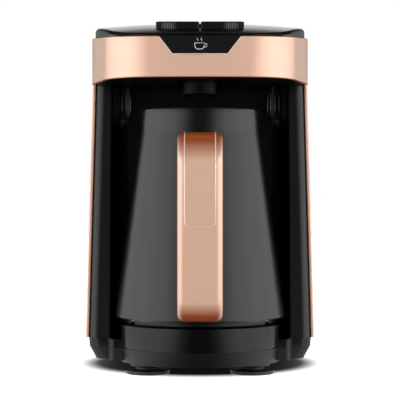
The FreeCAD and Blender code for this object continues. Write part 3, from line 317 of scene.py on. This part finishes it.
def panel_path():
    """Up one side, round the two lower corners and up the other side, from the top's rear end."""
    bend_y, bend_z = HANDLE_FRONT + HANDLE_BEND, HANDLE_TOP - HANDLE_BEND
    side = [(-PANEL_HALF, PANEL_END, HANDLE_TOP)]
    for turn in quarter_turn(BEND_STEPS):
        side.append((-PANEL_HALF, bend_y - HANDLE_BEND * math.sin(turn),
                     bend_z + HANDLE_BEND * math.cos(turn)))
    for turn in quarter_turn(CORNER_STEPS):
        side.append((-PANEL_HALF + PANEL_CORNER * (1 - math.cos(turn)), HANDLE_FRONT,
                     PANEL_LOW + PANEL_CORNER * (1 - math.sin(turn))))
    return side + [(-x, y, z) for x, y, z in reversed(side)]


bead("thumb_panel_bead", panel_path(), PANEL_BEAD, rose_bead_painted_highlight, "pot")

# The notch in the head band: a bead along its two slants and its floor
BAND_FRONT = -67.5
BAND_FRONT_RADIUS = 335.0
NOTCH_TOP_HALF, NOTCH_TOP = 28.5, 237.2
NOTCH_LOW_HALF, NOTCH_LOW = 19.2, 225.2
NOTCH_BEAD = 0.4
NOTCH_BEAD_BEHIND = 0.25        # how far the bead's middle lies behind the band's face
NOTCH_BEAD_BELOW = 0.3          # and below the notch's edge
NOTCH_STEPS = 8                 # points along each side of the notch


def band_face(x, y):
    """Depth of the band's rounded front at x, where y is its depth in the middle."""
    return y + x * x / (2 * BAND_FRONT_RADIUS)


def notch_path():
    """Down the left slant, along the floor and up the right slant."""
    corners = [(-NOTCH_TOP_HALF, NOTCH_TOP), (-NOTCH_LOW_HALF, NOTCH_LOW), (NOTCH_LOW_HALF, NOTCH_LOW),
               (NOTCH_TOP_HALF, NOTCH_TOP)]
    edge = []
    for (x0, z0), (x1, z1) in zip(corners, corners[1:]):
        edge += [(x0 + (x1 - x0) * k / NOTCH_STEPS, z0 + (z1 - z0) * k / NOTCH_STEPS)
                 for k in range(NOTCH_STEPS)]
    edge.append(corners[-1])
    return [(x, band_face(x, BAND_FRONT + NOTCH_BEAD_BEHIND), z - NOTCH_BEAD_BELOW) for x, z in edge]


bead("notch_bead", notch_path(), NOTCH_BEAD, rose_bead_painted_highlight, "machine")

# The cup printed on the tongue: bowl, handle and two wisps of steam
PRINT_FRONT = -67.3
PRINT_STROKE = 0.28
PRINT_SIDES = 6
CUP_STROKES = {
    "bowl": [(-3.7, 232.4), (-3.5, 230.2), (-2.9, 228.9), (-1.9, 228.2), (1.3, 228.2), (2.3, 228.9),
             (2.9, 230.2), (3.1, 232.4), (-3.7, 232.4)],
    "ear": [(3.0, 231.7), (4.3, 231.9), (4.9, 231.2), (4.7, 230.2), (3.9, 229.6), (2.7, 229.5)],
    "steam_left": [(-1.7, 233.5), (-1.2, 234.1), (-1.7, 234.8), (-2.1, 235.5), (-1.6, 236.2)],
    "steam_right": [(1.0, 233.5), (1.5, 234.1), (1.0, 234.8), (0.6, 235.5), (1.1, 236.2)],
}
for stroke, points in CUP_STROKES.items():
    bead("cup_" + stroke, [(x, band_face(x, PRINT_FRONT), z) for x, z in points], PRINT_STROKE,
         print_white, "machine", PRINT_SIDES)

# Fins down the two ceiling posts
POST_X, POST_Y, POST_RADIUS, POST_LOW, CEILING = 56.0, 30.0, 4.9, 185.6, 209.0
FIN_TURNS = (-75, -35, 5, 45)   # degrees round the post, from its front
FIN_RADIUS = 0.55
FIN_PROUD = 0.1
FIN_STEPS = 4


def fin_path(side, turn):
    """Upright line on a post's skin, from the post's foot to the ceiling."""
    reach = POST_RADIUS + FIN_PROUD
    x = side * POST_X + reach * math.sin(math.radians(turn))
    y = POST_Y - reach * math.cos(math.radians(turn))
    return [(x, y, POST_LOW + (CEILING - POST_LOW) * n / FIN_STEPS) for n in range(FIN_STEPS + 1)]


for side, hand in ((-1, "left"), (1, "right")):
    for k, turn in enumerate(FIN_TURNS):
        bead("post_fin_%s_%d" % (hand, k), fin_path(side, turn), FIN_RADIUS, polished,
             "machine")

# Plan of one push button, in millimetres from the machine's middle: half an oval, cut off straight
BUTTON_NEAR, BUTTON_FAR = 0.85, 32.6
BUTTON_MIDDLE_Y, BUTTON_HALF_DEPTH = -25.0, 20.0
BUTTON_SHOULDER = 7.0           # how far inside the far side the front and rear corners lie
NEAR_CORNER, SHOULDER_CORNER, FAR_CORNER = 1.0, 16.0, 22.0      # radii of its corners
BUTTON_ARC_STEPS = 10
RIB_FOOT = 243.0                # height at which the ribs round the buttons start


def button_outline(side):
    """Outline of the button on side -1 or 1, its corners rounded as in the cap's plan."""
    front, rear = BUTTON_MIDDLE_Y - BUTTON_HALF_DEPTH, BUTTON_MIDDLE_Y + BUTTON_HALF_DEPTH
    corners = [(BUTTON_NEAR, front, NEAR_CORNER),
               (BUTTON_FAR - BUTTON_SHOULDER, front, SHOULDER_CORNER),
               (BUTTON_FAR, BUTTON_MIDDLE_Y, FAR_CORNER),
               (BUTTON_FAR - BUTTON_SHOULDER, rear, SHOULDER_CORNER),
               (BUTTON_NEAR, rear, NEAR_CORNER)]
    points = []
    for i, (x, y, radius) in enumerate(corners):
        corner = Vector((x, y))
        before = (Vector(corners[i - 1][:2]) - corner).normalized()
        after = (Vector(corners[(i + 1) % len(corners)][:2]) - corner).normalized()
        half = before.angle(after) / 2
        centre = corner + (before + after).normalized() * radius / math.sin(half)
        start, end = before * radius / math.tan(half), after * radius / math.tan(half)
        first = corner + start - centre
        sweep = first.angle_signed(corner + end - centre)
        for k in range(BUTTON_ARC_STEPS + 1):
            turn = -sweep * k / BUTTON_ARC_STEPS
            points.append((side * (centre.x + first.x * math.cos(turn) - first.y * math.sin(turn)),
                           centre.y + first.x * math.sin(turn) + first.y * math.cos(turn)))
    return points


def outline_curve(side):
    """Closed curve round a button at the foot of its ribs."""
    line = bpy.data.curves.new("button_line", "CURVE")
    line.dimensions = "3D"
    outline = button_outline(side)
    spline = line.splines.new("POLY")
    spline.points.add(len(outline) - 1)
    for point, (x, y) in zip(spline.points, outline):
        point.co = (x * MM, y * MM, RIB_FOOT * MM, 1)
    spline.use_cyclic_u = True
    return line


def rib_tree():
    """Geometry nodes: upright ribs at an even spacing along a curve, cut to the cap's slope."""
    tree = new_shape_tree("button_ribs", {"Spacing": 1.5 * MM, "Rib Radius": 0.4 * MM,
                                          "Height In Front": 6.6 * MM, "Front": -45.0 * MM,
                                          "Slope": 0.119})
    tree.interface.new_socket("Finish", in_out="INPUT", socket_type="NodeSocketMaterial")
    given = add(tree, "NodeGroupInput").outputs
    points = add(tree, "GeometryNodeCurveToPoints", {"mode": "LENGTH"}, Curve=given["Geometry"],
                 Length=given["Spacing"]).outputs["Points"]
    rib = add(tree, "GeometryNodeMeshCylinder", Vertices=6, Depth=1.0, Radius=given["Rib Radius"])
    lifted = add(tree, "GeometryNodeTransform", Geometry=rib.outputs["Mesh"], Translation=(0, 0, 0.5))
    place = add(tree, "GeometryNodeInputPosition").outputs["Position"]
    depth = add(tree, "ShaderNodeSeparateXYZ", Vector=place).outputs["Y"]
    behind = add(tree, "ShaderNodeMath", {"operation": "SUBTRACT"}, depth, given["Front"])
    height = add(tree, "ShaderNodeMath", {"operation": "MULTIPLY_ADD"}, behind.outputs["Value"],
                 given["Slope"], given["Height In Front"])
    size = add(tree, "ShaderNodeCombineXYZ", X=1.0, Y=1.0, Z=height.outputs["Value"])
    ribs = add(tree, "GeometryNodeInstanceOnPoints", Points=points, Instance=lifted.outputs["Geometry"],
               Scale=size.outputs["Vector"])
    real = add(tree, "GeometryNodeRealizeInstances", Geometry=ribs.outputs["Instances"])
    done = add(tree, "GeometryNodeSetMaterial", Geometry=real.outputs["Geometry"],
               Material=given["Finish"])
    add(tree, "NodeGroupOutput", Geometry=done.outputs["Geometry"])
    return tree


def set_input(modifier, name, value):
    """Sets a geometry nodes modifier's input by its name, through its identifier."""
    for item in modifier.node_group.interface.items_tree:
        if item.item_type == "SOCKET" and item.in_out == "INPUT" and item.name == name:
            modifier[item.identifier] = value


def plain_mesh(source_data, tree, finish):
    """Runs a tree on a curve or mesh and gives the result as a plain mesh."""
    source = bpy.data.objects.new("source", source_data)
    bpy.context.scene.collection.objects.link(source)
    modifier = source.modifiers.new("tree", "NODES")
    modifier.node_group = tree
    set_input(modifier, "Finish", finish)
    graph = bpy.context.evaluated_depsgraph_get()
    mesh = bpy.data.meshes.new_from_object(source.evaluated_get(graph))
    bpy.data.objects.remove(source)
    return mesh


ribs = rib_tree()
for side, hand in ((-1, "left"), (1, "right")):
    place_piece("button_ribs_" + hand, plain_mesh(outline_curve(side), ribs, deep_black),
                "button_" + hand)


def grey_stops(node, stops):
    """Sets a colour ramp to grey levels at places from 0 to 1, and gives its output."""
    node.color_ramp.interpolation = "EASE"
    elements = node.color_ramp.elements
    while len(elements) < len(stops):
        elements.new(0.5)
    for element, (place, level) in zip(elements, stops):
        element.position = place
        element.color = (level, level, level, 1)
    return node.outputs["Color"]


def softbox_level(tree, direction):
    """Light from a direction, by its turn away from the front and the same on both sides."""
    across = add(tree, "ShaderNodeMath", {"operation": "ABSOLUTE"}, direction["X"])
    ahead = add(tree, "ShaderNodeMath", {"operation": "MULTIPLY"}, direction["Y"], -1.0)
    turn = add(tree, "ShaderNodeMath", {"operation": "ARCTAN2"}, across.outputs["Value"],
               ahead.outputs["Value"])
    share = add(tree, "ShaderNodeMath", {"operation": "DIVIDE"}, turn.outputs["Value"], math.pi)
    return grey_stops(add(tree, "ShaderNodeValToRGB", Fac=share.outputs["Value"]), ROUND_LIGHT)


def studio_floor():
    """White paper sweep: an oval round the feet is painted grey and gets no glow, a painted contact
    shadow, and further out it is plain white.

    In reflections it is painted a dark grey, a painted reflection, and glows where the softboxes would
    light it.
    """
    mesh = bpy.data.meshes.new("floor")
    corners = ((-1, -1), (1, -1), (1, 1), (-1, 1))
    mesh.from_pydata([(x * FLOOR_HALF, y * FLOOR_HALF, 0) for x, y in corners], [], [(0, 1, 2, 3)])
    floor = bpy.data.objects.new("floor", mesh)
    bpy.context.scene.collection.objects.link(floor)
    material, tree, shader, place = new_material("white_paper_floor")
    oval = add(tree, "ShaderNodeMapping", Vector=place, Location=(0, -SHADOW_MIDDLE / SHADOW_DEPTH, 0),
               Scale=(1 / SHADOW_WIDTH, 1 / SHADOW_DEPTH, 1))
    distance = add(tree, "ShaderNodeVectorMath", {"operation": "LENGTH"}, oval.outputs["Vector"])
    far = add(tree, "ShaderNodeMapRange", {"interpolation_type": "SMOOTHSTEP"},
              Value=distance.outputs["Value"], From_Min=1 - SHADOW_EDGE,
              From_Max=1 + SHADOW_EDGE).outputs["Result"]
    ray = add(tree, "ShaderNodeLightPath").outputs
    level = softbox_level(tree, add(tree, "ShaderNodeSeparateXYZ", Vector=place).outputs)
    lit = add(tree, "ShaderNodeMath", {"operation": "MULTIPLY"}, level, SOFTBOX * FLOOR_MIRRORED)
    mirrored = add(tree, "ShaderNodeMath", {"operation": "MULTIPLY"}, ray["Is Glossy Ray"],
                   lit.outputs["Value"])
    # Painted shadow: seen straight on, the paper glows white only outside the oval
    glow = add(tree, "ShaderNodeMath", {"operation": "MULTIPLY_ADD"}, ray["Is Camera Ray"], far,
               mirrored.outputs["Value"])
    # Painted shadow: inside the oval the paper is painted a mid grey
    paper = add(tree, "ShaderNodeMix", {"data_type": "RGBA"}, Factor=far, A=linear("707070"),
                B=linear("f6f6f6"))
    # Painted reflection: glossy surfaces see the paper as a dark grey
    seen = add(tree, "ShaderNodeMix", {"data_type": "RGBA"}, Factor=ray["Is Glossy Ray"],
               A=paper.outputs["Result"], B=linear("202020"))
    feed(tree, shader, Base_Color=seen.outputs["Result"], Roughness=0.9, Specular_IOR_Level=0.0,
         Emission_Color=(1, 1, 1, 1), Emission_Strength=glow.outputs["Value"])
    mesh.materials.append(material)


def studio_world():
    """A soft even room whose mirror image shows two wide softboxes, a dark front and a backdrop.

    The room is a function of direction alone, so that it lights every view alike.
    """
    world = bpy.data.worlds.new("studio")
    world.use_nodes = True
    tree = world.node_tree
    tree.nodes.clear()
    direction = add(tree, "ShaderNodeSeparateXYZ",
                    Vector=add(tree, "ShaderNodeTexCoord").outputs["Generated"]).outputs
    mirrored_height = grey_stops(add(tree, "ShaderNodeValToRGB", Fac=direction["Z"]), MIRRORED_HEIGHT)
    level = add(tree, "ShaderNodeMix", {"data_type": "RGBA", "blend_type": "MULTIPLY"}, Factor=1.0,
                A=softbox_level(tree, direction), B=mirrored_height)
    boxes = add(tree, "ShaderNodeBackground", Color=level.outputs["Result"], Strength=SOFTBOX)
    room_height = grey_stops(add(tree, "ShaderNodeValToRGB", Fac=direction["Z"]), ROOM_HEIGHT)
    room = add(tree, "ShaderNodeBackground", Color=room_height, Strength=ROOM)
    white = add(tree, "ShaderNodeBackground", Color=(1, 1, 1, 1), Strength=1.0)
    ray = add(tree, "ShaderNodeLightPath").outputs
    lit = add(tree, "ShaderNodeMixShader", None, ray["Is Glossy Ray"], room.outputs["Background"],
              boxes.outputs["Background"])
    seen = add(tree, "ShaderNodeMixShader", None, ray["Is Camera Ray"], lit.outputs["Shader"],
               white.outputs["Background"])
    add(tree, "ShaderNodeOutputWorld", Surface=seen.outputs["Shader"])
    bpy.context.scene.world = world


def studio_camera():
    """Level camera straight in front, with the long lens that flattens the object."""
    data = bpy.data.cameras.new("camera")
    data.lens = CAMERA_LENS
    data.sensor_width = CAMERA_SENSOR
    camera = bpy.data.objects.new("camera", data)
    camera.location = (0, -CAMERA_DISTANCE, CAMERA_HEIGHT)
    camera.rotation_euler = (math.pi / 2, 0, 0)
    bpy.context.scene.collection.objects.link(camera)
    bpy.context.scene.camera = camera


studio_floor()
studio_world()
studio_camera()
bpy.context.scene.view_settings.view_transform = "Standard"
